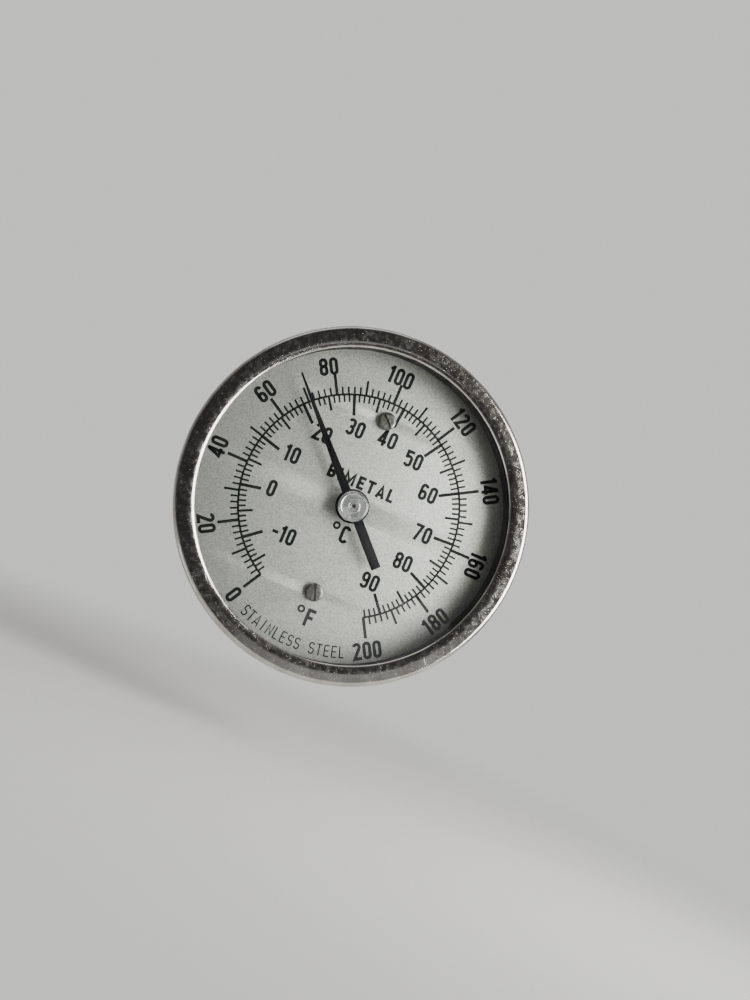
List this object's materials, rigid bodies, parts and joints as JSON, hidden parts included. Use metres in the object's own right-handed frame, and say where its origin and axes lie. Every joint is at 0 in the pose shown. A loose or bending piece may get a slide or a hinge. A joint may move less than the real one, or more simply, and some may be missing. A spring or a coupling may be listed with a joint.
{
  "type": "dial thermometer",
  "caption": "Back-connected bimetal dial thermometer with a crimped steel bezel, dual-scale dial, hex pipe-thread fitting and probe stem.",
  "frame": {"origin": "on the stem's axis in the plane of the hex shoulder, where the tapered pipe thread begins", "axes": "+Y along the stem, away from the reader; the dial faces -Y with its 12 o'clock towards +Z and its 3 o'clock towards +X"},
  "size_m": [0.085, 0.0932, 0.085],
  "materials": {
    "bezel_steel": "polished stainless steel with fine scratches",
    "case_steel": "satin drawn stainless steel",
    "fitting_steel": "machined stainless steel",
    "stem_steel": "drawn stainless steel tube",
    "lens_glass": "clear flat window glass",
    "gasket_rubber": "matt black rubber",
    "dial_silver": "satin silver with a fine speckle, printed in black",
    "screw_steel": "bright plated steel",
    "pointer_black": "satin black paint",
    "hub_aluminium": "bright, with concentric turning marks",
    "shaft_steel": "ground steel",
    "spring_steel": "tempered spring steel",
    "gear_brass": "machined brass",
    "bushing_bronze": "bearing bronze",
    "bimetal_strip": "rolled bimetal strip"
  },
  "bodies": {
    "case": {"case_cup": "case_steel", "bezel_ring": "bezel_steel", "lens": "lens_glass", "lens_gasket": "gasket_rubber", "hex_fitting": "fitting_steel", "stem_tube": "stem_steel", "stem_tip_plug": "stem_steel", "coil_anchor": "gear_brass", "bimetal_coil": "bimetal_strip", "guide_bushing_upper": "bushing_bronze", "guide_bushing_lower": "bushing_bronze", "carrier_bushing": "bushing_bronze", "carrier_spring_washer": "spring_steel", "carrier_retaining_ring": "spring_steel", "reset_oring": "gasket_rubber"},
    "dial": {"dial_plate": "dial_silver", "dial_carrier": "gear_brass", "dial_post_upper": "gear_brass", "dial_post_lower": "gear_brass", "dial_screw_upper": "screw_steel", "dial_screw_lower": "screw_steel"},
    "pointer": {"pointer_shaft": "shaft_steel", "coil_collar": "gear_brass", "pointer": "pointer_black", "pointer_hub": "hub_aluminium"},
    "reset": {"reset_screw": "screw_steel", "reset_pinion": "gear_brass", "reset_retaining_clip": "spring_steel"}
  },
  "joints": [
    {"name": "pointer_turn", "type": "hinge", "parent": "case", "child": "pointer", "pos_m": [0, 0, 0], "axis": [0, 1, 0], "range_deg": [-105.75, 194.25], "stiffness_Nm_per_rad": 0.0005, "deforming": ["bimetal_coil"]},
    {"name": "dial_reset", "type": "hinge", "parent": "case", "child": "dial", "pos_m": [0, 0, 0], "axis": [0, 1, 0], "range_deg": [-15, 15]},
    {"name": "reset_screw_turn", "type": "hinge", "parent": "case", "child": "reset", "pos_m": [0.0304, 0, 0], "axis": [0, 1, 0], "range_deg": [-80.5, 80.5]}
  ],
  "couplings": [
    {"joint": "reset_screw_turn", "follows": "dial_reset", "ratio": -5.3333}
  ]
}
